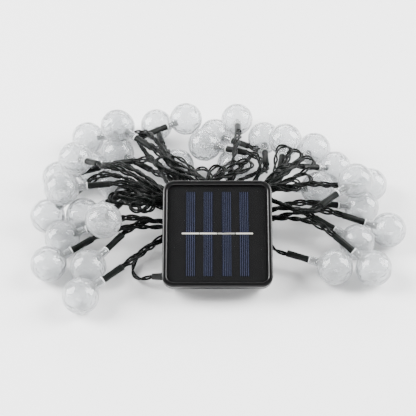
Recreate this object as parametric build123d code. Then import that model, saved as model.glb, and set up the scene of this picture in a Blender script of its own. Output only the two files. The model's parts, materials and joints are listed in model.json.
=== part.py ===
"""Solar string lights: a tilted solar box lying on its own tied bundle of globe lights.

Millimetres, +Z up, -Y is the front. The origin is on the table, at the bottom centre of the box and globes.
"""

from math import atan, cos, degrees, pi, radians, sin, sqrt, tan
import os

from build123d import *

# ---- solar box, in its own frame: X to the right, Y up the face, Z out of the face, 0 at the rim's top
BOX_SIDE = 76.0
BOX_CORNER = 8.0
BOX_TILT = 29.0
BOX_PLACE = Location((0, -56, 36), (BOX_TILT, 0, 0))
RIM_WIDTH = 3.4
RIM_ROUND = 1.4
INNER_RIM_ROUND = 1.2
TRAY_FLOOR_TOP = -3.8
TRAY_FLOOR_BOTTOM = -5.4
SEAM_TOP = -6.8
GASKET_THICKNESS = 0.6
SEAM_BOTTOM = SEAM_TOP - GASKET_THICKNESS
BOX_BACK = -20.0
BACK_INSET = 3.0
WALL = 2.0
FLOOR_TOP = BOX_BACK + WALL

PANEL_SIDE = BOX_SIDE - 2 * RIM_WIDTH - 0.2
PANEL_CORNER = 4.6
BOARD_THICKNESS = 1.2
CELL_WIDTH = 6.6
CELL_LENGTH = 60.0
CELL_PITCH = 12.4
CELL_THICKNESS = 0.25
RIBBON_LENGTH = 11.9
RIBBON_WIDTH = 1.0
RIBBON_THICKNESS = 0.15
RESIN_THICKNESS = 0.5

POST_REACH = 27.0
POST_RADIUS = 3.2
POST_FOOT = -11.8
SCREW_RADIUS = 1.2
SCREW_HEAD_RADIUS = 2.4
SCREW_HEAD_HEIGHT = 1.5
SCREW_TIP = -7.6
COUNTERBORE_RADIUS = 2.7

CIRCUIT_TOP = -11.4
CIRCUIT_THICKNESS = 1.2
CIRCUIT_SIZE = (44.0, 20.0)
CIRCUIT_Y = 13.0
STANDOFF_X = 19.0
SWITCH_SIDE = 6.0
SWITCH_HEIGHT = 3.0
BUTTON_X = 12.0
BUTTON_RADIUS = 3.0
BUTTON_OUT = 1.2
BUTTON_CLEARANCE = 0.25
BUTTON_FLANGE = 4.1

BATTERY_RADIUS = 5.2
BATTERY_LENGTH = 43.0
BATTERY_Y = -12.0
BATTERY_Z = -12.2

STAKE_EAR_X = 7.0
STAKE_EAR_THICKNESS = 3.0
STAKE_EAR_WIDTH = 9.0
STAKE_EAR_DROP = 8.0
STAKE_BORE_RADIUS = 2.1

GLAND_Y = -28.0
GLAND_Z = -13.5
GLAND_RADIUS = 2.6
GLAND_LENGTH = 7.0

# ---- one light, along its own axis: 0 at the globe's centre, + towards the cord
GLOBE_RADIUS = 12.7
GLOBE_WALL = 1.1
NECK_RADIUS = 3.0
NECK_WALL = 0.3
NECK_END = 18.0
RING_THICKNESS = 0.7
SOCKET_RADIUS = 2.4
SOCKET_END = 35.0
LED_TIP = 8.6
LED_FLANGE_RADIUS = 2.65
LED_BODY_RADIUS = 1.9

# ---- cords
CORD_DIAMETER = 3.2
CORD_RADIUS = CORD_DIAMETER / 2
PAIR_SPACING = 1.65
FIRST_RUN = 8.0
LEG_RUN = 13.0
BEND_PULL = 1.0
LONGEST_PULL = 38.0
CORD_STEP = 3.0
WAIST = Vector(0, -20, 14)
WAIST_RADIUS = 12.0
WAIST_HALF = 14.0
TIE_WIDTH = 4.0
TIE_THICKNESS = 0.9

# How each group of cords goes into the waist: its entry point, its direction there, and the way it spreads.
ENTRIES = {
    "left_front": ((-22, -25, 12), (0.85, 0.5, -0.1), (-0.5, 0.85, 0)),
    "left": ((-24, -17, 19), (0.93, -0.1, -0.35), (0.1, 1, 0)),
    "left_rear": ((-16, -9, 20), (0.6, -0.65, -0.45), (1, 0.6, 0)),
    "rear": ((4, -9, 20), (-0.1, -0.87, -0.45), (1, 0, 0)),
    "right_rear": ((20, -11, 20), (-0.75, -0.5, -0.4), (0.5, -1, 0)),
    "right": ((25, -21, 15), (-0.98, 0.05, -0.15), (0, -1, 0)),
}
# Lights by place in the bundle: globe centre x, y, z, where its socket points (bearing and rise in
# degrees), and how far its cords arch up on the way to the waist.
LIGHTS = {
    "left_front": [
        (-93, -93, 12.7, 36, 12, 2),
        (-90, -67, 12.7, 50, 8, 3),
        (-118, -64, 12.7, 30, 12, 2),
        (-111, -39, 12.7, 15, 12, 0),
    ],
    "left": [
        (-79, -46, 38, 75, -25, 2),
        (-124, -17, 12.7, 37, 20, 6),
        (-98, -16, 12.7, 25, 15, 6),
        (-120, 24, 12.7, -5, 22, 6),
        (-112, -12, 36, 8, 0, 2),
        (-105, 20, 36, -50, 28, 4),
        (-97, 36, 12.7, -5, 15, 6),
        (-78, 18, 12.7, -30, 10, 4),
    ],
    "left_rear": [
        (-102, 70, 12.7, -10, 15, 10),
        (-78, 84, 12.7, -50, 10, 7),
        (-76, 55, 38, -38, -6, 2),
        (-48, 86, 12.7, -80, 15, 6),
        (-77, 52, 12.7, -40, 5, 2),
        (-24, 80, 24, -145, 3, -2),
        (-30, 38, 12.7, -75, 12, 2),
    ],
    "rear": [
        (-1, 74, 12.7, -40, 12, 8),
        (17, 93, 12.7, -90, 24, 6),
        (13, 38, 12.7, -97, 12, 2),
        (38, 70, 12.7, -90, 5, 8),
    ],
    "right_rear": [
        (-9, 47, 26, -25, 8, 4),
        (53, 50, 28, -100, 0, 4),
        (77, 57, 12.7, -125, 12, 0),
        (91, 35, 12.7, -150, 27, 6),
        (76, 12, 12.7, -168, 12, 4),
        (116, 16, 12.7, -150, 25, 4),
        (100, -6, 38, -140, -5, 0),
    ],
    "right": [
        (107, -8, 12.7, -175, 12, 2),
        (124, -31, 12.7, 170, 15, 2),
        (100, -43, 12.7, 150, 12, 2),
        (109, -68, 12.7, 145, 22, 2),
        (82, -67, 12.7, 160, 2, 0),
    ],
}
LAST_LIGHT = ("right", 4)

# The lead from the box: out of the gland, along the table, then into the tied folds.
LEAD_POINTS = [
    (-51.5, -74, 8),
    (-57.5, -69.5, 4.5),
    (-60, -62, 2.6),
    (-59, -54, 4.6),
    (-53, -46.5, 8.5),
    (-41.5, -37.5, 11),
    (-30, -30, 12),
]
# Outlines of the lead's fanned folds, seen from above, each with its height and where it leaves the waist.
FOLDS = {
    "left": (
        [(-44, -14), (-58, -8), (-76, -8), (-82, -20), (-67, -22), (-64, -34), (-54, -36), (-44, -28)],
        29.5,
        (-12, -11, 18),
    ),
    "rear": (
        [
            (-24, -10), (-44, 6), (-48, 22), (-38, 29), (-26, 20), (-12, 5),
            (8, 6), (16, 22), (28, 22), (30, 8), (16, -10),
        ],
        30.0,
        (-4, -14, 20),
    ),
    "right": (
        [(28, -8), (40, 22), (50, 36), (62, 34), (74, 22), (76, 4), (64, -8), (42, -13)],
        32.0,
        (12, -12, 20),
    ),
}
FOLD_THICKNESS = 7.0
FOLD_CORNER = 5.0
FOLD_STEM_RADIUS = 5.0


def place_on_box(shape):
    return shape.moved(BOX_PLACE)


def on_box(x, y, z):
    return (BOX_PLACE * Location((x, y, z))).position


def rounded_plate(side, corner, top, bottom):
    outline = Plane.XY.offset(bottom) * RectangleRounded(side, side, corner)
    return extrude(outline, top - bottom)


def upright(x, y, radius, bottom, top):
    return Pos(x, y, (bottom + top) / 2) * Cylinder(radius, top - bottom)


def corners(reach):
    return [(x, y) for x in (-reach, reach) for y in (-reach, reach)]


# ---- solar box


def top_cover():
    outer = rounded_plate(BOX_SIDE, BOX_CORNER, 0, SEAM_TOP)
    rim = outer.edges().group_by(Axis.Z)[-1]
    outer = fillet(rim, RIM_ROUND)
    pocket_side = PANEL_SIDE + 0.2
    cover = outer - rounded_plate(pocket_side, PANEL_CORNER + 0.1, 1, TRAY_FLOOR_TOP)
    reach = pocket_side / 2 + 0.1
    inner_rim = [e for e in cover.edges().group_by(Axis.Z)[-1] if max(map(abs, e.center().to_tuple())) < reach]
    cover = fillet(inner_rim, INNER_RIM_ROUND)
    cover -= rounded_plate(BOX_SIDE - 2 * WALL, BOX_CORNER - WALL, TRAY_FLOOR_BOTTOM, SEAM_TOP - 1)
    for x, y in corners(POST_REACH):
        cover += upright(x, y, POST_RADIUS, POST_FOOT, TRAY_FLOOR_BOTTOM + 0.1)
        cover -= upright(x, y, SCREW_RADIUS + 0.05, POST_FOOT - 1, SCREW_TIP + 0.4)
    for x in (-8, 8):
        cover -= upright(x, CIRCUIT_Y, 1.0, TRAY_FLOOR_BOTTOM - 1, TRAY_FLOOR_TOP + 1)
    return cover


def panel_board():
    return rounded_plate(PANEL_SIDE, PANEL_CORNER, TRAY_FLOOR_TOP + BOARD_THICKNESS, TRAY_FLOOR_TOP)


def cell_x(number):
    return (number - 1.5) * CELL_PITCH


def solar_cell(number):
    bottom = TRAY_FLOOR_TOP + BOARD_THICKNESS
    return Pos(cell_x(number), 0, bottom + CELL_THICKNESS / 2) * Box(CELL_WIDTH, CELL_LENGTH, CELL_THICKNESS)


def cell_ribbons():
    bottom = TRAY_FLOOR_TOP + BOARD_THICKNESS + CELL_THICKNESS
    strip = Box(RIBBON_LENGTH, RIBBON_WIDTH, RIBBON_THICKNESS)
    return [Pos(cell_x(number), 0, bottom + RIBBON_THICKNESS / 2) * strip for number in range(4)]


def panel_resin():
    bottom = TRAY_FLOOR_TOP + BOARD_THICKNESS + CELL_THICKNESS + RIBBON_THICKNESS
    return rounded_plate(PANEL_SIDE, PANEL_CORNER, bottom + RESIN_THICKNESS, bottom)


def case_gasket():
    ring = rounded_plate(BOX_SIDE - 1.6, BOX_CORNER - 0.8, SEAM_TOP, SEAM_BOTTOM)
    return ring - rounded_plate(BOX_SIDE - 2 * WALL, BOX_CORNER - WALL, SEAM_TOP + 1, SEAM_BOTTOM - 1)


def tapered_tub(inset, floor, top):
    """The back's outer shape drawn in by inset, from the seam down to floor."""
    taper = degrees(atan(BACK_INSET / (SEAM_BOTTOM - BOX_BACK)))
    side = BOX_SIDE - 2 * inset
    outline = Plane.XY.offset(SEAM_BOTTOM) * RectangleRounded(side, side, BOX_CORNER - inset)
    tub = extrude(outline, SEAM_BOTTOM - floor, dir=(0, 0, -1), taper=taper)
    if top > SEAM_BOTTOM:
        tub += rounded_plate(side, BOX_CORNER - inset, top, SEAM_BOTTOM)
    return tub


def stake_ears():
    ears = []
    height = STAKE_EAR_DROP + STAKE_EAR_WIDTH / 2
    for x in (-STAKE_EAR_X, STAKE_EAR_X):
        web = Pos(x, 0, BOX_BACK - STAKE_EAR_DROP / 2 + 0.25) * Box(
            STAKE_EAR_THICKNESS, STAKE_EAR_WIDTH, STAKE_EAR_DROP + 0.5
        )
        nose = Pos(x, 0, BOX_BACK - STAKE_EAR_DROP) * Rot(0, 90, 0) * Cylinder(
            STAKE_EAR_WIDTH / 2, STAKE_EAR_THICKNESS
        )
        ears.append(web + nose)
    bore = Pos(0, 0, BOX_BACK - STAKE_EAR_DROP) * Rot(0, 90, 0) * Cylinder(STAKE_BORE_RADIUS, height * 3)
    return [ear - bore for ear in ears]


def base_shell():
    shell = tapered_tub(0, BOX_BACK, SEAM_BOTTOM) - tapered_tub(WALL, FLOOR_TOP, SEAM_BOTTOM + 1)
    for x, y in corners(POST_REACH):
        shell += upright(x, y, POST_RADIUS + 0.4, FLOOR_TOP - 0.2, POST_FOOT - 0.1)
        shell -= upright(x, y, SCREW_RADIUS + 0.35, BOX_BACK - 1, POST_FOOT + 1)
        shell -= upright(x, y, COUNTERBORE_RADIUS, BOX_BACK - 1, BOX_BACK + SCREW_HEAD_HEIGHT + 0.1)
    for x in (-STANDOFF_X, STANDOFF_X):
        shell += upright(x, CIRCUIT_Y, 1.8, FLOOR_TOP - 0.2, CIRCUIT_TOP - CIRCUIT_THICKNESS)
    for x in (-BUTTON_X, BUTTON_X):
        shell -= upright(x, CIRCUIT_Y, BUTTON_RADIUS + BUTTON_CLEARANCE, BOX_BACK - 1, FLOOR_TOP + 1)
    cradle_top = BATTERY_Z - 2
    for x in (-12, 12):
        rib = Pos(x, BATTERY_Y, (FLOOR_TOP + cradle_top) / 2 - 0.1) * Box(2, 13, cradle_top - FLOOR_TOP + 0.2)
        notch = Pos(x, BATTERY_Y, BATTERY_Z) * Rot(0, 90, 0) * Cylinder(BATTERY_RADIUS + 0.05, 4)
        shell += rib - notch
    gland_hole = Pos(-BOX_SIDE / 2, GLAND_Y, GLAND_Z) * Rot(0, 90, 0) * Cylinder(GLAND_RADIUS, 14)
    shell -= gland_hole
    for ear in stake_ears():
        shell += ear
    return shell


def case_screws():
    screws = []
    for x, y in corners(POST_REACH):
        head = upright(x, y, SCREW_HEAD_RADIUS, BOX_BACK, BOX_BACK + SCREW_HEAD_HEIGHT)
        shank = upright(x, y, SCREW_RADIUS, BOX_BACK + SCREW_HEAD_HEIGHT - 0.1, SCREW_TIP)
        slot = Pos(x, y, BOX_BACK) * Box(3.2, 0.6, 1.2)
        cross_slot = Pos(x, y, BOX_BACK) * Box(0.6, 3.2, 1.2)
        screws.append(head + shank - slot - cross_slot)
    return screws


def circuit_board():
    middle = CIRCUIT_TOP - CIRCUIT_THICKNESS / 2
    return Pos(0, CIRCUIT_Y, middle) * Box(*CIRCUIT_SIZE, CIRCUIT_THICKNESS)


def driver_chip():
    return Pos(0, CIRCUIT_Y + 3, CIRCUIT_TOP + 0.8) * Box(5, 4, 1.6)


def inductor():
    return upright(12, CIRCUIT_Y, 2.2, CIRCUIT_TOP, CIRCUIT_TOP + 3.6)


def panel_leads():
    return [upright(x, CIRCUIT_Y, 0.6, CIRCUIT_TOP, TRAY_FLOOR_TOP) for x in (-8, 8)]


def switch_body(x):
    top = CIRCUIT_TOP - CIRCUIT_THICKNESS
    body = Pos(x, CIRCUIT_Y, top - SWITCH_HEIGHT / 2) * Box(SWITCH_SIDE, SWITCH_SIDE, SWITCH_HEIGHT)
    return body - upright(x, CIRCUIT_Y, 1.75, top - SWITCH_HEIGHT - 1, top - 0.8)


def push_button(x):
    flange_bottom = FLOOR_TOP + 0.1
    cap = upright(x, CIRCUIT_Y, BUTTON_RADIUS, BOX_BACK - BUTTON_OUT, flange_bottom)
    crown = cap.edges().group_by(Axis.Z)[0]
    cap = fillet(crown, 0.5)
    flange = upright(x, CIRCUIT_Y, BUTTON_FLANGE, flange_bottom, flange_bottom + 0.7)
    plunger = CIRCUIT_TOP - CIRCUIT_THICKNESS - SWITCH_HEIGHT + 0.4
    stem = upright(x, CIRCUIT_Y, 1.5, flange_bottom + 0.6, plunger)
    return cap + flange + stem


def battery_cell():
    body = Pos(0, BATTERY_Y, BATTERY_Z) * Rot(0, 90, 0) * Cylinder(BATTERY_RADIUS, BATTERY_LENGTH)
    return chamfer(body.edges(), 0.4)


def battery_button():
    x = BATTERY_LENGTH / 2 + 0.5
    return Pos(x, BATTERY_Y, BATTERY_Z) * Rot(0, 90, 0) * Cylinder(1.9, 1.0)


def contact_plate(x):
    return Pos(x, BATTERY_Y, BATTERY_Z - 0.9) * Box(0.4, 8, 9.6)


def cable_gland():
    """A flanged bush in the side wall, drawn out to a taper that holds the lead."""
    wall_x = -BOX_SIDE / 2 + 1.5
    bush = Pos(wall_x + 1.5, GLAND_Y, GLAND_Z) * Rot(0, -90, 0) * Cylinder(GLAND_RADIUS - 0.05, 7)
    sleeve_start = wall_x - 2.0
    taper = Pos(sleeve_start - GLAND_LENGTH / 2, GLAND_Y, GLAND_Z) * Rot(0, -90, 0) * Cone(
        GLAND_RADIUS, CORD_RADIUS + 0.5, GLAND_LENGTH
    )
    return bush + taper


# ---- lights


def direction(bearing, rise):
    b, r = radians(bearing), radians(rise)
    return Vector(cos(r) * cos(b), cos(r) * sin(b), sin(r))


def light_place(light):
    x, y, z, bearing, rise, _ = light
    axis = direction(bearing, rise)
    return Plane(origin=(x, y, z), z_dir=axis, x_dir=axis.cross(Vector(0, 0, 1)).normalized()).location


def turned(outline):
    """A solid of revolution about the light's own axis, from (radius, distance) points."""
    face = make_face(Plane.XZ * Polyline(*outline, close=True))
    return revolve(face, Axis.Z)


def globe():
    outer = Sphere(GLOBE_RADIUS)
    neck_start = sqrt(GLOBE_RADIUS**2 - NECK_RADIUS**2) - 0.6
    outer += upright(0, 0, NECK_RADIUS, neck_start, NECK_END)
    inner = Sphere(GLOBE_RADIUS - GLOBE_WALL)
    inner += upright(0, 0, NECK_RADIUS - NECK_WALL, LED_TIP, NECK_END + 1)
    return outer - inner


def neck_ring():
    ring = upright(0, 0, NECK_RADIUS, NECK_END, NECK_END + RING_THICKNESS)
    return ring - upright(0, 0, LED_BODY_RADIUS, NECK_END - 1, NECK_END + RING_THICKNESS + 1)


def light_diode():
    """A wide-angle LED: a stem, and a flared lens with a hollow cone in its face."""
    lens_back = LED_TIP + 3.0
    outline = [
        (0, LED_TIP + 1.2),
        (LED_FLANGE_RADIUS - 0.3, LED_TIP),
        (LED_FLANGE_RADIUS, LED_TIP + 0.5),
        (LED_BODY_RADIUS + 0.1, lens_back),
        (LED_BODY_RADIUS, lens_back + 1),
        (LED_BODY_RADIUS, NECK_END + RING_THICKNESS),
        (0, NECK_END + RING_THICKNESS),
    ]
    return turned(outline)


def socket():
    start = NECK_END + RING_THICKNESS
    sleeve = upright(0, 0, SOCKET_RADIUS, start, SOCKET_END)
    return chamfer(sleeve.edges().group_by(Axis.Z)[-1], 0.25)


# ---- cords


def corner_radii(points):
    """Each arc is as large as its two runs allow."""
    radii = []
    for before, here, after in zip(points, points[1:], points[2:]):
        arriving, leaving = here - before, after - here
        half_turn = radians(arriving.get_angle(leaving)) / 2
        radii.append(0.45 * min(arriving.length, leaving.length) / tan(half_turn))
    return radii


def cord_tube(points, report):
    points = [Vector(*point) for point in points]
    radii = corner_radii(points)
    path = FilletPolyline(*points, radius=radii)
    section = Plane(origin=points[0], z_dir=points[1] - points[0]) * Circle(CORD_RADIUS)
    tube = sweep(section, path=path)
    expected = pi * CORD_RADIUS**2 * path.length
    report.append((min(radii), path.length, tube.volume / expected))
    return tube


def leg_points(light, entry, number):
    """One cord of a light: straight out of its socket, then one smooth bend over an arch into the waist."""
    foot, inward, spread = (Vector(*values) for values in entry)
    column, row = number % 4 - 1.5, number // 4 - 1
    axis = direction(light[3], light[4])
    across = axis.cross(Vector(0, 0, 1)).normalized()
    start = Vector(*light[:3]) + axis * SOCKET_END + across * PAIR_SPACING * (1 if number % 2 else -1)
    out = start + axis * FIRST_RUN
    end = foot + (spread.normalized() * column + Vector(0, 0, row)) * CORD_STEP
    reach = (end - out).length
    if reach < LEG_RUN:
        return [start, start + axis * reach, end]
    pull = min(reach * BEND_PULL, LONGEST_PULL)
    runs = max(2, min(6, round(reach / LEG_RUN)))
    leaving, arriving = axis * pull, inward.normalized() * pull
    points = [start]
    for step in range(runs + 1):
        t = step / runs
        rise = Vector(0, 0, light[5] * 4 * t * (1 - t))
        blend = out * (2 * t**3 - 3 * t**2 + 1) + end * (3 * t**2 - 2 * t**3)
        points.append(blend + leaving * (t**3 - 2 * t**2 + t) + arriving * (t**3 - t**2) + rise)
    return points


def cord_legs(group, report):
    legs = []
    for place, light in enumerate(LIGHTS[group]):
        pairs = 1 if (group, place) == LAST_LIGHT else 2
        for pair in range(pairs):
            legs.append(cord_tube(leg_points(light, ENTRIES[group], 2 * place + pair), report))
    return legs


def string_waist():
    ends = [Pos(x, WAIST.Y, WAIST.Z) * Sphere(WAIST_RADIUS) for x in (-WAIST_HALF, WAIST_HALF)]
    middle = Pos(*WAIST) * Rot(0, 90, 0) * Cylinder(WAIST_RADIUS, 2 * WAIST_HALF)
    return middle + ends[0] + ends[1]


def waist_tie():
    band = Pos(*WAIST) * Rot(0, 90, 0) * Cylinder(WAIST_RADIUS + TIE_THICKNESS, TIE_WIDTH)
    return band - Pos(*WAIST) * Rot(0, 90, 0) * Cylinder(WAIST_RADIUS, TIE_WIDTH + 2)


def lead_tube(report):
    gland_end = on_box(-BOX_SIDE / 2 - 0.5 - GLAND_LENGTH, GLAND_Y, GLAND_Z)
    return cord_tube([gland_end, *LEAD_POINTS], report)


def lead_folds(side):
    outline, bottom, foot = FOLDS[side]
    corner_points = [(x, y, bottom) for x, y in outline]
    edge = FilletPolyline(*corner_points, radius=FOLD_CORNER, close=True)
    fan = extrude(make_face(edge), FOLD_THICKNESS)
    root = (Vector(*outline[0], bottom) + Vector(*outline[-1], bottom)) / 2
    foot = Vector(*foot)
    root += Vector(root.X - foot.X, root.Y - foot.Y, 0).normalized() * 6 + Vector(0, 0, FOLD_THICKNESS / 2)
    along = root - foot
    stem = Plane(origin=(root + foot) / 2, z_dir=along).location * Cylinder(FOLD_STEM_RADIUS, along.length)
    return fan + stem + Pos(*root) * Sphere(FOLD_STEM_RADIUS)


def write(name, shape):
    solids = shape if isinstance(shape, list) else [shape]
    parts = [solid for item in solids for solid in item.solids()]
    export_step(Compound(children=parts) if len(parts) > 1 else parts[0], f"parts/{name}.step")


def main():
    os.makedirs("parts", exist_ok=True)
    report = []
    box_parts = {
        "top_cover": top_cover(),
        "panel_board": panel_board(),
        "cell_ribbons": cell_ribbons(),
        "panel_resin": panel_resin(),
        "case_gasket": case_gasket(),
        "base_shell": base_shell(),
        "case_screws": case_screws(),
        "circuit_board": circuit_board(),
        "driver_chip": driver_chip(),
        "inductor": inductor(),
        "panel_leads": panel_leads(),
        "power_switch": switch_body(-BUTTON_X),
        "mode_switch": switch_body(BUTTON_X),
        "power_button": push_button(-BUTTON_X),
        "mode_button": push_button(BUTTON_X),
        "battery_cell": battery_cell(),
        "battery_button": battery_button(),
        "contact_plus": contact_plate(BATTERY_LENGTH / 2 + 1.2),
        "contact_minus": contact_plate(-BATTERY_LENGTH / 2 - 0.2),
        "cable_gland": cable_gland(),
    }
    for number in range(4):
        box_parts[f"solar_cell_{number + 1}"] = solar_cell(number)
    for name, shape in box_parts.items():
        placed = [place_on_box(s) for s in shape] if isinstance(shape, list) else place_on_box(shape)
        write(name, placed)

    light_parts = {"globes": globe(), "neck_rings": neck_ring(), "diodes": light_diode(), "sockets": socket()}
    for group, lights in LIGHTS.items():
        for name, shape in light_parts.items():
            write(f"{name}_{group}", [shape.moved(light_place(light)) for light in lights])
        write(f"cords_{group}", cord_legs(group, report))

    write("string_waist", string_waist())
    write("waist_tie", waist_tie())
    write("lead_tube", lead_tube(report))
    for side in FOLDS:
        write(f"lead_folds_{side}", lead_folds(side))

    radii, lengths, shares = zip(*report)
    print("smallest cord radius", round(min(radii), 1))
    print("cord tubes' length", round(sum(lengths)))
    print("tube volume against section times length", round(min(shares), 4), round(max(shares), 4))


if __name__ == "__main__":
    main()
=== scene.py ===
import json
from math import cos, pi, radians, sin, sqrt

import bpy
import numpy as np
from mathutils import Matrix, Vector

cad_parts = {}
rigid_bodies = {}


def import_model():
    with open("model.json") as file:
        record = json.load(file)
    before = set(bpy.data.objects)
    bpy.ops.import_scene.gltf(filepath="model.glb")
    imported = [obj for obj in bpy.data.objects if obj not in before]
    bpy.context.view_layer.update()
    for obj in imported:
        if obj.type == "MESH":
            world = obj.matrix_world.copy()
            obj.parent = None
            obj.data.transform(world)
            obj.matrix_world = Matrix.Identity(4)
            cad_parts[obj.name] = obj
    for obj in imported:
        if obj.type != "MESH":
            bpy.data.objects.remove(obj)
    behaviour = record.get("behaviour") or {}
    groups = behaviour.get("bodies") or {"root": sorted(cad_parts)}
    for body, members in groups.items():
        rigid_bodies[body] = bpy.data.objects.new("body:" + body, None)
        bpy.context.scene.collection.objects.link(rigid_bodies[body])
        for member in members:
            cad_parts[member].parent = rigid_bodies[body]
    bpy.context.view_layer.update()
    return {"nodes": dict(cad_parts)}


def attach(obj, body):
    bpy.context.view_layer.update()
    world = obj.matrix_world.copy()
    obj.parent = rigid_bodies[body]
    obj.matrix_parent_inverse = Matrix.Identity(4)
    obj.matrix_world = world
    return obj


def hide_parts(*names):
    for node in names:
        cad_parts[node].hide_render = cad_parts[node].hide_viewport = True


# Solar string lights: a tilted solar box on its own tied bundle of twisted cord and bubbled globes.
# Metres, +Z up, -Y is the front.

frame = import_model()
mainBody = "string_lights"
up = np.array((0.0, 0.0, 1.0))


# camera and light

view = {"aim": (-0.0065, 0.004, 0.0), "distance": 0.75, "elevation": 45.0, "lens": 85.7}
studio = {
    "worldGrey": 0.2,
    "middle": (0.0, 0.0, 0.02),  # of the bundle, where every lamp looks
    # name: place, width, height, watts
    "panels": {
        "frontPanel": ((0.0, -1.7, 0.7), 2.2, 0.4, 20.0),
        "leftPanel": ((-1.4, 0.1, 0.9), 0.9, 1.6, 112.0),
        "rightPanel": ((1.4, 0.2, 0.9), 0.9, 1.6, 96.0),
        "rearPanel": ((0.0, 1.7, 0.9), 2.2, 0.6, 42.0),
    },
}


def lookAt(thing, target):
    # turns a camera or lamp so that its own -Z points at the target
    away = thing.location - Vector(target)
    thing.rotation_euler = away.to_track_quat("Z", "Y").to_euler()


def addCamera():
    camera = bpy.data.objects.new("camera", bpy.data.cameras.new("camera"))
    bpy.context.scene.collection.objects.link(camera)
    rise = radians(view["elevation"])
    x, y, z = view["aim"]
    camera.location = (x, y - view["distance"] * cos(rise), z + view["distance"] * sin(rise))
    camera.data.lens = view["lens"]
    lookAt(camera, view["aim"])
    bpy.context.scene.camera = camera


def addStudio():
    for name, (place, width, height, watts) in studio["panels"].items():
        lamp = bpy.data.lights.new(name, "AREA")
        lamp.shape = "RECTANGLE"
        lamp.size, lamp.size_y, lamp.energy = width, height, watts
        panel = bpy.data.objects.new(name, lamp)
        bpy.context.scene.collection.objects.link(panel)
        panel.location = place
        lookAt(panel, studio["middle"])
    world = bpy.data.worlds.new("softWhiteRoom")
    world.use_nodes = True
    grey = studio["worldGrey"]
    world.node_tree.nodes["Background"].inputs["Color"].default_value = (grey, grey, grey, 1.0)
    bpy.context.scene.world = world
    print("lamps", len(studio["panels"]))


# working with meshes


def addPiece(name, vertices, faces, slot, *nodes):
    # a smooth piece on the main body, standing for the CAD nodes that are named
    mesh = bpy.data.meshes.new(name)
    mesh.from_pydata(vertices.tolist(), [], faces)
    mesh.shade_smooth()
    piece = bpy.data.objects.new(name, mesh)
    bpy.context.scene.collection.objects.link(piece)
    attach(piece, mainBody)
    if nodes:
        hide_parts(*nodes)
    return piece


def ringFaces(rows, sides):
    # the quads between rings that are each closed on themselves, and a flat face over each end
    row, side = np.meshgrid(np.arange(rows - 1), np.arange(sides), indexing="ij")
    here, beside = row * sides + side, row * sides + (side + 1) % sides
    quads = np.stack([here, beside, beside + sides, here + sides], axis=-1)
    last = (rows - 1) * sides
    ends = [list(range(sides))[::-1], list(range(last, last + sides))]
    return quads.reshape(-1, 4).tolist() + ends


def unit(vectors):
    # each vector at length one
    return vectors / np.linalg.norm(vectors, axis=-1, keepdims=True)


def joined(parts):
    # several (vertices, faces) as one, each part's face numbers moved past the vertices before it
    first, vertices, faces = 0, [], []
    for partVertices, partFaces in parts:
        vertices.append(partVertices)
        faces.extend([[corner + first for corner in face] for face in partFaces])
        first += len(partVertices)
    return np.concatenate(vertices), faces


def tube(line, radius, sides, across):
    # a round tube: ring point = centre + radius * (cos a * across + sin a * (tangent x across)), flat ends
    tangent = unit(np.gradient(line, axis=0))
    second = unit(np.cross(tangent, across))
    first = np.cross(second, tangent)
    angle = np.arange(sides) * 2 * pi / sides
    ring = np.cos(angle)[None, :, None] * first[:, None] + np.sin(angle)[None, :, None] * second[:, None]
    vertices = (line[:, None] + radius * ring).reshape(-1, 3)
    return vertices, ringFaces(len(line), sides)


# cords

cordFacts = {
    "diameter": 0.0032,  # a twisted pair
    "strand": 0.0016,
    "pitch": 0.020,  # one full turn of the pair
    "leadPitch": 0.024,
    "ring": 0.0011,  # distance between a strand's rings
    "sides": 8,
    "firstRun": 0.008,
    "legRun": 0.013,
    "bendPull": 1.0,
    "longestPull": 0.038,
    "spacing": 0.00165,  # a light's two pairs, from its axis
    "tail": 0.0008,  # the same where they leave the sleeve
    "runs": (2, 6),  # fewest and most in a leg's bend
    "columns": 4,  # cords side by side where a group goes into the waist
    "step": 0.003,  # from one of those to the next
    "slack": 0.3,  # how far its strands open, in strand radii
    "slackEvery": 0.031,
    "closedEnd": 0.006,  # the strands close again over this at each end
    "pathPoints": 400,
}
waist = {
    "centre": (0.0, -0.020, 0.014),
    "fill": 0.0102,
    "reach": 0.009,  # from its middle to each end
    "doubleHalf": 0.006,  # half the width of a cord that comes out on the side it went in
    "goldenAngle": 2.39996,
}
# How each group of cords goes into the waist: its entry point, its direction there, and the way it spreads.
entries = {
    "left_front": ((-0.022, -0.025, 0.012), (0.85, 0.5, -0.1), (-0.5, 0.85, 0)),
    "left": ((-0.024, -0.017, 0.019), (0.93, -0.1, -0.35), (0.1, 1, 0)),
    "left_rear": ((-0.016, -0.009, 0.020), (0.6, -0.65, -0.45), (1, 0.6, 0)),
    "rear": ((0.004, -0.009, 0.020), (-0.1, -0.87, -0.45), (1, 0, 0)),
    "right_rear": ((0.020, -0.011, 0.020), (-0.75, -0.5, -0.4), (0.5, -1, 0)),
    "right": ((0.025, -0.021, 0.015), (-0.98, 0.05, -0.15), (0, -1, 0)),
}
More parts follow.
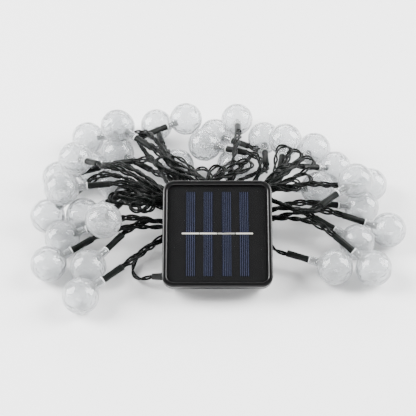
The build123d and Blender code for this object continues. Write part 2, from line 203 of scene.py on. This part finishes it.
# Each light: its globe's centre, where its socket points (bearing and rise in degrees), and how far its
# cords arch up on the way to the waist.
lights = {
    "left_front": [
        (-0.093, -0.093, 0.0127, 36, 12, 0.002),
        (-0.090, -0.067, 0.0127, 50, 8, 0.003),
        (-0.118, -0.064, 0.0127, 30, 12, 0.002),
        (-0.111, -0.039, 0.0127, 15, 12, 0),
    ],
    "left": [
        (-0.079, -0.046, 0.038, 75, -25, 0.002),
        (-0.124, -0.017, 0.0127, 37, 20, 0.006),
        (-0.098, -0.016, 0.0127, 25, 15, 0.006),
        (-0.120, 0.024, 0.0127, -5, 22, 0.006),
        (-0.112, -0.012, 0.036, 8, 0, 0.002),
        (-0.105, 0.020, 0.036, -50, 28, 0.004),
        (-0.097, 0.036, 0.0127, -5, 15, 0.006),
        (-0.078, 0.018, 0.0127, -30, 10, 0.004),
    ],
    "left_rear": [
        (-0.102, 0.070, 0.0127, -10, 15, 0.010),
        (-0.078, 0.084, 0.0127, -50, 10, 0.007),
        (-0.076, 0.055, 0.038, -38, -6, 0.002),
        (-0.048, 0.086, 0.0127, -80, 15, 0.006),
        (-0.077, 0.052, 0.0127, -40, 5, 0.002),
        (-0.024, 0.080, 0.024, -145, 3, -0.002),
        (-0.030, 0.038, 0.0127, -75, 12, 0.002),
    ],
    "rear": [
        (-0.001, 0.074, 0.0127, -40, 12, 0.008),
        (0.017, 0.093, 0.0127, -90, 24, 0.006),
        (0.013, 0.038, 0.0127, -97, 12, 0.002),
        (0.038, 0.070, 0.0127, -90, 5, 0.008),
    ],
    "right_rear": [
        (-0.009, 0.047, 0.026, -25, 8, 0.004),
        (0.053, 0.050, 0.028, -100, 0, 0.004),
        (0.077, 0.057, 0.0127, -125, 12, 0),
        (0.091, 0.035, 0.0127, -150, 27, 0.006),
        (0.076, 0.012, 0.0127, -168, 12, 0.004),
        (0.116, 0.016, 0.0127, -150, 25, 0.004),
        (0.100, -0.006, 0.038, -140, -5, 0),
    ],
    "right": [
        (0.107, -0.008, 0.0127, -175, 12, 0.002),
        (0.124, -0.031, 0.0127, 170, 15, 0.002),
        (0.100, -0.043, 0.0127, 150, 12, 0.002),
        (0.109, -0.068, 0.0127, 145, 22, 0.002),
        (0.082, -0.067, 0.0127, 160, 2, 0),
    ],
}
leftEnd = ("left_front", "left", "left_rear")
doubledBack = (4, 9, 14)  # lights at the left end whose next light lies there too
socketEnd = 0.035

lead = {
    "gland": (-0.0455, -0.028, -0.0135),  # the gland's end, on the box
    "points": [
        (-0.0515, -0.074, 0.008),
        (-0.0575, -0.0695, 0.0045),
        (-0.060, -0.062, 0.0026),
        (-0.059, -0.054, 0.0046),
        (-0.053, -0.0465, 0.0085),
        (-0.0415, -0.0375, 0.011),
        (-0.030, -0.030, 0.012),
    ],
    # its folds by fan: where the fan leaves the waist, the root that the folds grow from, and their tips
    "fans": {
        "right": (
            (0.012, -0.012, 0.020),
            (0.041, -0.0105, 0.0355),
            [(0.052, 0.033, 0.0375), (0.061, 0.031, 0.0345), (0.071, 0.020, 0.0365), (0.069, 0.000, 0.0360),
             (0.061, -0.006, 0.0345)],
        ),
        "left": (
            (-0.012, -0.011, 0.018),
            (-0.049, -0.021, 0.033),
            [(-0.078, -0.016, 0.0315), (-0.061, -0.032, 0.0340), (-0.073, -0.012, 0.0350),
             (-0.052, -0.032, 0.0315), (-0.067, -0.021, 0.0330)],
        ),
        "rear": (
            (-0.004, -0.014, 0.020),
            (-0.006, -0.003, 0.0335),
            [(-0.045, 0.021, 0.0345), (0.026, 0.018, 0.0345), (-0.036, 0.025, 0.0320), (0.017, 0.019, 0.0320),
             (0.004, 0.013, 0.0350), (-0.014, 0.012, 0.0335)],
        ),
    },
    "loopHalf": 0.0052,
    "loopBack": 0.013,  # a loop's points, back from its tip
    "loopFront": 0.001,
    "rootRadius": 0.0032,  # a fold's two sides about its fan's root, and the angle from one fold to the next
    "rootTurn": 1.9,
    "rootShare": 0.8,  # the same at the root as a share of that at the foot
}
box = {"face": (0.0, -0.056, 0.036), "tilt": 29.0}


def axisOf(bearing, rise):
    # the unit vector with that bearing on the floor and that rise from it, in degrees
    b, r = radians(bearing), radians(rise)
    return np.array((cos(r) * cos(b), cos(r) * sin(b), sin(r)))


def legPoints(group, place, pair):
    # straight out of the socket, then one Hermite bend from there into the waist, with an arch of
    # height * 4t(1-t) on it; a light close by goes straight in
    light = lights[group][place]
    foot, inward, spread = (np.array(values, float) for values in entries[group])
    number = 2 * place + pair
    columns = cordFacts["columns"]
    column, row = number % columns - (columns - 1) / 2, number // columns - 1
    axis = axisOf(light[3], light[4])
    across = unit(np.cross(axis, up))
    side = 1 if number % 2 else -1
    socket = np.array(light[:3]) + axis * socketEnd
    out = socket + across * cordFacts["spacing"] * side + axis * cordFacts["firstRun"]
    end = foot + (unit(spread) * column + up * row) * cordFacts["step"]
    start = socket + across * cordFacts["tail"] * side
    reach = np.linalg.norm(end - out)
    if reach < cordFacts["legRun"]:
        return [start, socket + across * cordFacts["spacing"] * side + axis * reach, end]
    pull = min(reach * cordFacts["bendPull"], cordFacts["longestPull"])
    fewest, most = cordFacts["runs"]
    runs = max(fewest, min(most, round(reach / cordFacts["legRun"])))
    t = np.linspace(0, 1, runs + 1)[:, None]
    bend = out * (2 * t**3 - 3 * t**2 + 1) + end * (3 * t**2 - 2 * t**3)
    bend += axis * pull * (t**3 - 2 * t**2 + t) + unit(inward) * pull * (t**3 - t**2)
    return [start, *(bend + up * light[5] * 4 * t * (1 - t))]


def smoothLine(name, points, step):
    # the route's NURBS line, read back and spaced evenly
    curve = bpy.data.curves.new(name, "CURVE")
    curve.dimensions = "3D"
    curve.resolution_u = 16
    spline = curve.splines.new("NURBS")
    spline.points.add(len(points) - 1)
    spline.points.foreach_set("co", np.c_[np.array(points), np.ones(len(points))].ravel())
    spline.order_u = 3
    spline.use_endpoint_u = True
    route = bpy.data.objects.new(name, curve)
    mesh = bpy.data.meshes.new_from_object(route)
    line = np.empty(len(mesh.vertices) * 3)
    mesh.vertices.foreach_get("co", line)
    line = line.reshape(-1, 3)
    bpy.data.objects.remove(route)
    bpy.data.curves.remove(curve)
    bpy.data.meshes.remove(mesh)
    along = np.r_[0, np.cumsum(np.linalg.norm(np.diff(line, axis=0), axis=1))]
    even = np.linspace(0, along[-1], int(along[-1] / step) + 2)
    return np.stack([np.interp(even, along, line[:, k]) for k in range(3)], axis=1), along[-1]


def twistedPair(name, points, pitch, facing):
    # strand centre = line +- apart * (cos p * first + sin p * second), p growing evenly along the line and
    # apart = r * (1 + slack * sin^2 of the way along), back to r at both ends
    line, length = smoothLine(name, points, cordFacts["ring"])
    tangent = unit(np.gradient(line, axis=0))
    least = np.linalg.svd(tangent, full_matrices=False)[2][-1]  # the way that the line runs least
    first = unit(least - tangent * (tangent @ least)[:, None])
    second = np.cross(tangent, first)
    angles = [np.arctan2(second[k] @ way, first[k] @ way) for k, way in zip((0, -1), facing)]
    turn = 2 * pi * length / pitch
    turn += (angles[1] - angles[0] - turn + pi / 2) % pi - pi / 2  # both ends lie flat in their sleeves
    phase = angles[0] + turn * np.linspace(0, 1, len(line))[:, None]
    across = np.cos(phase) * first + np.sin(phase) * second
    half = cordFacts["strand"] / 2
    along = length * np.linspace(0, 1, len(line))[:, None]
    ends = np.clip(np.minimum(along, length - along) / cordFacts["closedEnd"], 0, 1)
    apart = half * (1 + cordFacts["slack"] * ends * np.sin(along * 2 * pi / cordFacts["slackEvery"]) ** 2)
    strands = [tube(line + across * apart * side, half, cordFacts["sides"], across) for side in (1, -1)]
    return line, length, *joined(strands)


def addCord(name, points, facing, leaves, pitch, *nodes):
    # a cord from the point where it leaves its sleeve or gland, standing for its CAD nodes
    line, length, vertices, faces = twistedPair(name, points, pitch, facing)
    piece = addPiece(name, vertices, faces, "cord_green_black", *nodes)
    path = line[:: max(1, len(line) // cordFacts["pathPoints"])]
    if np.linalg.norm(path[-1] - line[-1]) > 0:
        path = np.r_[path, line[-1:]]
    return float(length)


def slotOffset(number, count):
    # place in the waist's section: radius grows with the root of the number, each a golden angle on
    radius = waist["fill"] * sqrt((number + 0.5) / count)
    angle = number * waist["goldenAngle"]
    return np.array((0.0, radius * cos(angle), radius * sin(angle)))


def stringOrder():
    # lights in the order that the string runs: left end, right end, and back
    left = [(group, k) for group in leftEnd for k in range(len(lights[group]))]
    right = [(group, k) for group in lights if group not in leftEnd for k in range(len(lights[group]))]
    order = []
    for number, light in enumerate(left):
        order.append(light)
        if number not in doubledBack:
            order.append(right.pop(0))
    return order


def facingOf(group, place):
    # the way up across a light's sleeve
    light = lights[group][place]
    axis = axisOf(light[3], light[4])
    return unit(np.cross(np.cross(axis, up), axis))


def addString(order):
    # one cord from each light to the next, through the waist
    count = len(order) - 1
    centre = np.array(waist["centre"])
    reach = np.array((waist["reach"], 0.0, 0.0))
    total = 0.0
    for number in range(count):
        here, there = order[number], order[number + 1]
        slot = centre + slotOffset(number, count)
        sides = [-1 if group in leftEnd else 1 for group, _ in (here, there)]
        middle = [slot + reach * sides[0], slot + reach * sides[1]]
        if sides[0] == sides[1]:
            across = np.array((0.0, waist["doubleHalf"], 0.0))
            middle = [centre + reach * sides[0] - across, centre - across, centre + across,
                      centre + reach * sides[0] + across]
        points = legPoints(*here, 1) + middle + legPoints(*there, 0)[::-1]
        nodes = {f"cords_{here[0]}", f"cords_{there[0]}"}
        facing = (facingOf(*here), facingOf(*there))
        total += addCord(f"cord{number + 1:02d}", points, facing, points[0], cordFacts["pitch"], *nodes)
    print("string of", count, "cords,", round(total, 2), "m")


def rootOffset(number):
    # where a fold lies in its fan's root
    angle = number * lead["rootTurn"]
    return np.array((0.0, lead["rootRadius"] * cos(angle), lead["rootRadius"] * sin(angle)))


def foldPoints(foot, root, tip, number):
    # one fold: up from the waist to the fan's root, round a loop at the tip, and back
    out = unit(tip - root)
    across = unit(np.cross(out, up))
    half, narrow = rootOffset(number), lead["rootShare"]
    back, front, side = tip - out * lead["loopBack"], tip - out * lead["loopFront"], across * lead["loopHalf"]
    loop = [back + side, front + side, front - side, back - side]
    return [foot + half, root + half * narrow, *loop, root - half * narrow, foot - half]


def onBox(x, y, z):
    # a point given on the box (right, up the face, out of the face) in the frame's own axes
    tilt = radians(box["tilt"])
    face = np.array(box["face"])
    return face + np.array((x, y * cos(tilt) - z * sin(tilt), y * sin(tilt) + z * cos(tilt)))


def addLead(first):
    # from the gland into the waist, then out along each fan and back in turn, and on to the first light
    leaves = onBox(*lead["gland"])
    points = [leaves, *(np.array(p) for p in lead["points"])]
    rounds = max(len(tips) for _, _, tips in lead["fans"].values())
    for number in range(rounds):
        for foot, root, tips in lead["fans"].values():
            if number < len(tips):
                points += foldPoints(np.array(foot), np.array(root), np.array(tips[number]), number)
    points += legPoints(*first, 0)[::-1]
    nodes = ("lead_tube", *(f"lead_folds_{fan}" for fan in lead["fans"]), "string_waist")
    length = addCord("lead", points, (up, facingOf(*first)), leaves, cordFacts["leadPitch"], *nodes)
    print("lead", round(length, 2), "m")


# Globes, diodes and sleeves. Each profile is a list of (radius, height) in millimetres, along its light's own
# axis from the globe's centre.
perMetre = 1000  # millimetres in a metre

globe = {
    "radius": 0.0127,
    "inside": 0.0116,
    "neck": [(3.2, 12.45), (3.03, 12.9), (3.0, 13.6), (3.0, 17.8), (2.93, 18.0), (2.75, 18.0), (2.7, 17.8),
             (2.7, 11.9)],
    "sides": 80,
    "outerRows": 34,
    "innerRows": 58,
    "pole": 3.1,  # polar angles from the neck, in radians: the far end, and each sphere's mouth
    "outerMouth": 0.275,
    "innerMouth": 0.25,
    "dimples": 340,
    "dimpleWidth": 0.00095,
    "dimpleDepth": 0.0007,
    "shallowest": 0.3,  # as a share of the deepest
    "smoothTo": 0.45,  # polar angle up to which there are none, and the one over which they grow
    "smoothOver": 0.3,
    "seed": 11,
}
diode = {
    "profile": [(0.1, 9.8), (1.2, 9.2), (2.3, 8.62), (2.6, 8.75), (2.65, 9.3), (2.5, 10.3), (2.2, 11.4),
                (1.98, 12.0), (1.9, 12.8), (1.9, 15.5), (1.9, 18.7)],
    "sides": 40,
    "darkRows": 7,
}
sleeve = {
    "profile": [(2.1, 18.72), (2.35, 18.78), (2.42, 19.1), (2.42, 20.5), (2.34, 22.5), (2.31, 24.5),
                (2.36, 27.0), (2.4, 29.5), (2.36, 32.0), (2.4, 34.3), (2.32, 34.8), (2.12, 34.98),
                (1.95, 34.7), (1.85, 33.5)],
    "sides": 36,
    "flatFrom": 0.026,
    "flatten": 0.16,
    "ripple": 0.018,
    "rippleLobes": 3,
    "rippleTwist": 900,  # radians a metre
}


def lathed(profile, sides):
    # ring point = (r * cos a, r * sin a, z), one ring for each (r, z) of the profile
    angle = np.arange(sides) * 2 * pi / sides
    radius, height = profile[:, :1], profile[:, 1:]
    return np.stack([radius * np.cos(angle), radius * np.sin(angle), height + 0 * angle], axis=-1)


def placed(rings, light):
    # point = centre + x * across + y * down + z * axis
    axis = axisOf(light[3], light[4])
    across = unit(np.cross(axis, up))
    turned = rings.reshape(-1, 3) @ np.stack([across, np.cross(axis, across), axis])
    return np.array(light[:3]) + turned, ringFaces(*rings.shape[:2])


def globeShape(light, chance):
    # two spheres joined at the neck; the inner one stands in by the largest of its dimples'
    # depth * exp(-(distance / width)^2)
    outer = np.linspace(globe["pole"], globe["outerMouth"], globe["outerRows"])
    inner = np.linspace(globe["innerMouth"], globe["pole"], globe["innerRows"])
    spheres = [size * np.c_[np.sin(polar), np.cos(polar)]
               for size, polar in ((globe["radius"], outer), (globe["inside"], inner))]
    rings = lathed(np.r_[spheres[0], np.array(globe["neck"]) / perMetre, spheres[1]], globe["sides"])
    wall = rings[-globe["innerRows"] :]
    seats = unit(chance.normal(size=(globe["dimples"], 3)))
    depths = globe["dimpleDepth"] * chance.uniform(globe["shallowest"], 1.0, globe["dimples"])
    apart = 2 * (1 - unit(wall) @ seats.T) * (globe["inside"] / globe["dimpleWidth"]) ** 2
    share = np.clip((inner - globe["smoothTo"]) / globe["smoothOver"], 0, 1)[:, None]
    dent = (np.exp(-apart) * depths).max(axis=-1) * share
    wall *= 1 - dent[..., None] / globe["inside"]
    return placed(rings, light)


def diodeShape(light):
    # a lens with a shallow cone sunk in its face, its rim, and the body behind them
    return placed(lathed(np.array(diode["profile"]) / perMetre, diode["sides"]), light)


def sleeveShape(light, chance):
    # drawn flat towards the cords, with a ripple r * (1 + ripple * sin(lobes * a + twist * z + phase))
    rings = lathed(np.array(sleeve["profile"]) / perMetre, sleeve["sides"])
    flat = np.clip((rings[..., 2] - sleeve["flatFrom"]) / (socketEnd - sleeve["flatFrom"]), 0, 1) ** 2
    angle = np.arctan2(rings[..., 1], rings[..., 0])
    turned = sleeve["rippleLobes"] * angle + sleeve["rippleTwist"] * rings[..., 2]
    ripple = 1 + sleeve["ripple"] * np.sin(turned + chance.uniform(0, 2 * pi))
    rings[..., 0] *= ripple * (1 + sleeve["flatten"] * flat)
    rings[..., 1] *= ripple * (1 - sleeve["flatten"] * flat)
    return placed(rings, light)


def addLights():
    chance = np.random.default_rng(globe["seed"])
    for group, members in lights.items():
        shells = joined([globeShape(light, chance) for light in members])
        addPiece(f"bubbled_globes_{group}", *shells, "clear_globe", f"globes_{group}")
        sleeves = joined([sleeveShape(light, chance) for light in members])
        addPiece(f"shrunk_sleeves_{group}", *sleeves, "dark_sleeve", f"sockets_{group}")
        diodes = joined([diodeShape(light) for light in members])
        lenses = addPiece(f"led_lenses_{group}", *diodes, "led_lens", f"diodes_{group}")
        # the cone and rim of each lens take the darker finish
        each = len(lenses.data.polygons) // len(members)
        dark = np.arange(len(lenses.data.polygons)) % each < diode["darkRows"] * diode["sides"]
        lenses.data.polygons.foreach_set("material_index", dark.astype(np.int32))
        print("lights", group, len(members))


addCamera()
addStudio()
addLights()
order = stringOrder()
addString(order)
addLead(order[0])


# materials


def linear(hexValue):
    # an sRGB hex colour as linear red, green, blue and alpha
    channels = [int(hexValue[k : k + 2], 16) / 255 for k in (1, 3, 5)]
    return (*[c / 12.92 if c <= 0.04045 else ((c + 0.055) / 1.055) ** 2.4 for c in channels], 1.0)


def addNode(nodes, kind, inputs=None, **settings):
    # one shader node: its settings, its plain input values, and the sockets that feed it
    node = nodes.new("ShaderNode" + kind)
    for key, value in settings.items():
        setattr(node, key, value)
    for key, value in (inputs or {}).items():
        if isinstance(value, bpy.types.NodeSocket):
            nodes.id_data.links.new(value, node.inputs[key])
        else:
            node.inputs[key].default_value = value
    return node


def newMaterial(name, **surface):
    # a material with its Principled shader and Object coordinates; surface sets the shader's own sockets
    material = bpy.data.materials.new(name)
    material.use_nodes = True
    nodes = material.node_tree.nodes
    shader = nodes["Principled BSDF"]
    for key, value in surface.items():
        shader.inputs[key.replace("_", " ")].default_value = value
    place = addNode(nodes, "TexCoord").outputs["Object"]
    return material, nodes, shader, place


def varied(nodes, place, scale, dark, light):
    # a colour that drifts between two tones with noise of that many cells per metre
    noise = addNode(nodes, "TexNoise", {"Vector": place, "Scale": scale, "Detail": 3.0})
    return addNode(nodes, "Mix", {0: noise.outputs["Fac"], 6: linear(dark), 7: linear(light)},
                   data_type="RGBA")


def feed(shader, **sources):
    # each named socket of the shader from a node's output
    for key, output in sources.items():
        shader.id_data.links.new(output, shader.inputs[key.replace("_", " ")])


def cordPvc():
    # extruded PVC: a smooth dark green-black skin with a soft gloss and the faint ripple of the die, 0.7 mm
    # apart
    material, nodes, shader, place = newMaterial("extrudedPvc", IOR=1.53, Specular_IOR_Level=0.12)
    tone = varied(nodes, place, 70, "#020403", "#080c0a")
    ripple = addNode(nodes, "TexNoise", {"Vector": place, "Scale": 1500.0, "Detail": 2.0})
    gloss = addNode(nodes, "MapRange", {0: ripple.outputs["Fac"], 3: 0.2, 4: 0.36})
    bump = addNode(nodes, "Bump", {"Strength": 0.12, "Distance": 0.0001, "Height": ripple.outputs["Fac"]})
    feed(shader, Base_Color=tone.outputs[2], Roughness=gloss.outputs[0], Normal=bump.outputs[0])
    return material


def shrunkSleeve():
    # polyolefin shrunk on with heat: satin black-green, uneven at about 1 mm where it has drawn in
    material, nodes, shader, place = newMaterial("heatShrunkPolyolefin", IOR=1.5, Specular_IOR_Level=0.15)
    tone = varied(nodes, place, 160, "#040605", "#0b0f0d")
    skin = addNode(nodes, "TexNoise", {"Vector": place, "Scale": 900.0, "Detail": 4.0})
    gloss = addNode(nodes, "MapRange", {0: skin.outputs["Fac"], 3: 0.3, 4: 0.5})
    bump = addNode(nodes, "Bump", {"Strength": 0.35, "Distance": 0.0002, "Height": skin.outputs["Fac"]})
    feed(shader, Base_Color=tone.outputs[2], Roughness=gloss.outputs[0], Normal=bump.outputs[0])
    return material


def globeAcrylic():
    # moulded acrylic full of fine bubbles: clear, greyed a little, with bright and dark cells 1.6 mm across
    material, nodes, shader, place = newMaterial("bubbledAcrylic", IOR=1.49)
    shader.inputs["Transmission Weight"].default_value = 0.86
    cells = addNode(nodes, "TexVoronoi", {"Vector": place, "Scale": 620.0}, feature="SMOOTH_F1")
    tone = addNode(nodes, "Mix", {0: cells.outputs["Distance"], 6: linear("#fbfcfd"), 7: linear("#e3e6e8")},
                   data_type="RGBA")
    gloss = addNode(nodes, "MapRange", {0: cells.outputs["Distance"], 3: 0.02, 4: 0.14})
    bump = addNode(nodes, "Bump", {"Strength": 0.5, "Distance": 0.0004, "Height": cells.outputs["Distance"]})
    feed(shader, Base_Color=tone.outputs[2], Roughness=gloss.outputs[0], Normal=bump.outputs[0])
    return material


def ringPlastic():
    # clear styrene collar, cut and left a little cloudy on its edge
    material, nodes, shader, place = newMaterial("cutClearStyrene", IOR=1.59)
    shader.inputs["Transmission Weight"].default_value = 0.25
    tone = varied(nodes, place, 900, "#dfe3e4", "#ffffff")
    haze = addNode(nodes, "TexNoise", {"Vector": place, "Scale": 1400.0})
    gloss = addNode(nodes, "MapRange", {0: haze.outputs["Fac"], 3: 0.1, 4: 0.3})
    feed(shader, Base_Color=tone.outputs[2], Roughness=gloss.outputs[0])
    return material


def lensEpoxy(name, dark, light, clear):
    # cast epoxy of the LED: slightly grey-green, with the hard gloss of its mould
    material, nodes, shader, place = newMaterial(name, IOR=1.54)
    shader.inputs["Transmission Weight"].default_value = clear
    tone = varied(nodes, place, 500, dark, light)
    swirl = addNode(nodes, "TexNoise", {"Vector": place, "Scale": 800.0, "Detail": 4.0})
    gloss = addNode(nodes, "MapRange", {0: swirl.outputs["Fac"], 3: 0.04, 4: 0.18})
    feed(shader, Base_Color=tone.outputs[2], Roughness=gloss.outputs[0])
    return material


def caseAbs():
    # injection-moulded ABS, polished tool: deep black with a soft gloss and fine flow marks, 1.4 mm apart
    material, nodes, shader, place = newMaterial("polishedMouldedAbs", IOR=1.53, Specular_IOR_Level=0.3)
    tone = varied(nodes, place, 45, "#020202", "#050506")
    grain = addNode(nodes, "TexNoise", {"Vector": place, "Scale": 700.0, "Detail": 5.0})
    gloss = addNode(nodes, "MapRange", {0: grain.outputs["Fac"], 3: 0.24, 4: 0.36})
    bump = addNode(nodes, "Bump", {"Strength": 0.02, "Distance": 0.0001, "Height": grain.outputs["Fac"]})
    feed(shader, Base_Color=tone.outputs[2], Roughness=gloss.outputs[0], Normal=bump.outputs[0])
    return material


def moulded(name, dark, light, rough, relief=0.15):
    # a moulded, pressed or coated part in two close tones, with a matt grain drawn coarse, at 2.5 mm, to show
    material, nodes, shader, place = newMaterial(name, Specular_IOR_Level=0.3)
    tone = varied(nodes, place, 60, dark, light)
    grain = addNode(nodes, "TexNoise", {"Vector": place, "Scale": 400.0, "Detail": 4.0})
    gloss = addNode(nodes, "MapRange", {0: grain.outputs["Fac"], 3: rough - 0.08, 4: rough + 0.08})
    bump = addNode(nodes, "Bump", {"Strength": relief, "Distance": 0.0001, "Height": grain.outputs["Fac"]})
    feed(shader, Base_Color=tone.outputs[2], Roughness=gloss.outputs[0], Normal=bump.outputs[0])
    return material


def plated(name, dark, light, rough):
    # nickel, zinc or tin plate over a drawn part: bright, with fine marks 0.8 mm apart
    material, nodes, shader, place = newMaterial(name, Metallic=1.0)
    tone = varied(nodes, place, 220, dark, light)
    marks = addNode(nodes, "TexNoise", {"Vector": place, "Scale": 1200.0, "Detail": 3.0})
    gloss = addNode(nodes, "MapRange", {0: marks.outputs["Fac"], 3: rough - 0.08, 4: rough + 0.1})
    feed(shader, Base_Color=tone.outputs[2], Roughness=gloss.outputs[0])
    return material


cell = {"width": 0.0066, "fingers": 5, "fingerWidth": 0.00016}


def siliconCell():
    # nitride-coated silicon: deep navy with a violet drift, crossed by thin printed silver fingers
    material, nodes, shader, place = newMaterial("coatedSilicon", IOR=2.0)
    tone = varied(nodes, place, 120, "#04060f", "#080d24")
    across = addNode(nodes, "SeparateXYZ", {"Vector": place}).outputs["X"]
    spacing = cell["width"] / cell["fingers"] / 2
    wave = addNode(nodes, "Math", {0: across, 1: spacing}, operation="PINGPONG")
    edge = addNode(nodes, "MapRange", {0: wave.outputs[0], 1: 0.0, 2: cell["fingerWidth"], 3: 1.0, 4: 0.0})
    lined = addNode(nodes, "Mix", {0: edge.outputs[0], 6: tone.outputs[2], 7: linear("#3f4a70")},
                    data_type="RGBA")
    gloss = addNode(nodes, "MapRange", {0: edge.outputs[0], 3: 0.25, 4: 0.45})
    feed(shader, Base_Color=lined.outputs[2], Roughness=gloss.outputs[0])
    return material


def pouredResin():
    # clear casting resin over the panel: a thin glossy skin that deepens what is under it, with waves 18 mm
    # long where it set
    material, nodes, shader, place = newMaterial("pouredClearResin", IOR=1.5, Alpha=0.14)
    wave = addNode(nodes, "TexNoise", {"Vector": place, "Scale": 55.0, "Detail": 2.0})
    tint = addNode(nodes, "Mix", {0: wave.outputs["Fac"], 6: linear("#060708"), 7: linear("#0c0d0f")},
                   data_type="RGBA")
    gloss = addNode(nodes, "MapRange", {0: wave.outputs["Fac"], 3: 0.03, 4: 0.09})
    bump = addNode(nodes, "Bump", {"Strength": 0.06, "Distance": 0.0004, "Height": wave.outputs["Fac"]})
    feed(shader, Base_Color=tint.outputs[2], Roughness=gloss.outputs[0], Normal=bump.outputs[0])
    return material


def floorPaper():
    # seamless studio paper: matt and near white
    material, nodes, shader, place = newMaterial("studioPaper", Roughness=0.8)
    tone = varied(nodes, place, 3, "#fafafa", "#ffffff")
    feed(shader, Base_Color=tone.outputs[2])
    return material


def dress(thing, *materials):
    # gives a piece or a CAD node these materials in place of its own
    thing.data.materials.clear()
    for material in materials:
        thing.data.materials.append(material)


def dressAll():
    groups = list(lights)
    pieces = bpy.data.objects
    finish = {
        cordPvc(): [o for o in pieces if o.name.startswith("cord") and o.name not in frame["nodes"]]
        + [pieces["lead"]],
        shrunkSleeve(): [pieces[f"shrunk_sleeves_{g}"] for g in groups],
        globeAcrylic(): [pieces[f"bubbled_globes_{g}"] for g in groups],
        ringPlastic(): [frame["nodes"][f"neck_rings_{g}"] for g in groups],
        siliconCell(): [frame["nodes"][f"solar_cell_{k}"] for k in (1, 2, 3, 4)],
    }
    lens = lensEpoxy("castEpoxyLens", "#2b3431", "#5f6a66", 0.3)
    lensRim = lensEpoxy("castEpoxyLensRim", "#0b100f", "#1b2321", 0.05)
    for group in groups:
        dress(pieces[f"led_lenses_{group}"], lens, lensRim)
    single = {
        "top_cover": caseAbs(),
        "base_shell": moulded("sparkErodedAbs", "#020202", "#050506", 0.6),
        "panel_resin": pouredResin(),
        "panel_board": moulded("solderMaskedBoard", "#020203", "#050506", 0.5, 0.01),
        "cell_ribbons": plated("tinnedCopperRibbon", "#f6f2e6", "#fffdf5", 0.6),
        "case_gasket": moulded("mouldedSilicone", "#101011", "#1b1b1c", 0.6),
        "case_screws": plated("zincPlatedSteel", "#8d8f90", "#c3c5c6", 0.3),
        "circuit_board": moulded("glassEpoxyBoard", "#0b3a1c", "#14532b", 0.4),
        "driver_chip": moulded("mouldedEpoxyChip", "#111112", "#1c1c1d", 0.5),
        "inductor": moulded("sinteredFerrite", "#1f1f20", "#2d2d2e", 0.6),
        "panel_leads": plated("tinnedWire", "#b9b9b4", "#deded8", 0.3),
        "power_switch": moulded("mouldedNylonSwitch", "#161617", "#222223", 0.5),
        "battery_cell": moulded("printedShrinkFilm", "#12603d", "#1a7a50", 0.3),
        "battery_button": plated("nickelPlatedSteel", "#a9a9a4", "#d8d8d2", 0.25),
        "power_button": moulded("mouldedRubberButton", "#131314", "#1e1e20", 0.55),
        "cable_gland": moulded("mouldedSoftPvc", "#0c0d0d", "#161818", 0.5),
        "waist_tie": moulded("mouldedNylonTie", "#0c0c0d", "#171718", 0.42),
    }
    same = {"mode_switch": "power_switch", "mode_button": "power_button",
            "contact_plus": "battery_button", "contact_minus": "battery_button"}
    for node, like in same.items():
        single[node] = single[like]
    for material, things in finish.items():
        for thing in things:
            dress(thing, material)
    for node, material in single.items():
        dress(frame["nodes"][node], material)
    print("materials", len(bpy.data.materials))


dressAll()


# floor


paper = {"side": 6.0}


def addFloor():
    half = paper["side"] / 2
    corners = [(-half, -half, 0), (half, -half, 0), (half, half, 0), (-half, half, 0)]
    mesh = bpy.data.meshes.new("floor")
    mesh.from_pydata(corners, [], [(0, 1, 2, 3)])
    floor = bpy.data.objects.new("floor", mesh)
    bpy.context.scene.collection.objects.link(floor)
    dress(floor, floorPaper())
    print("floor", paper["side"], "m")


addFloor()
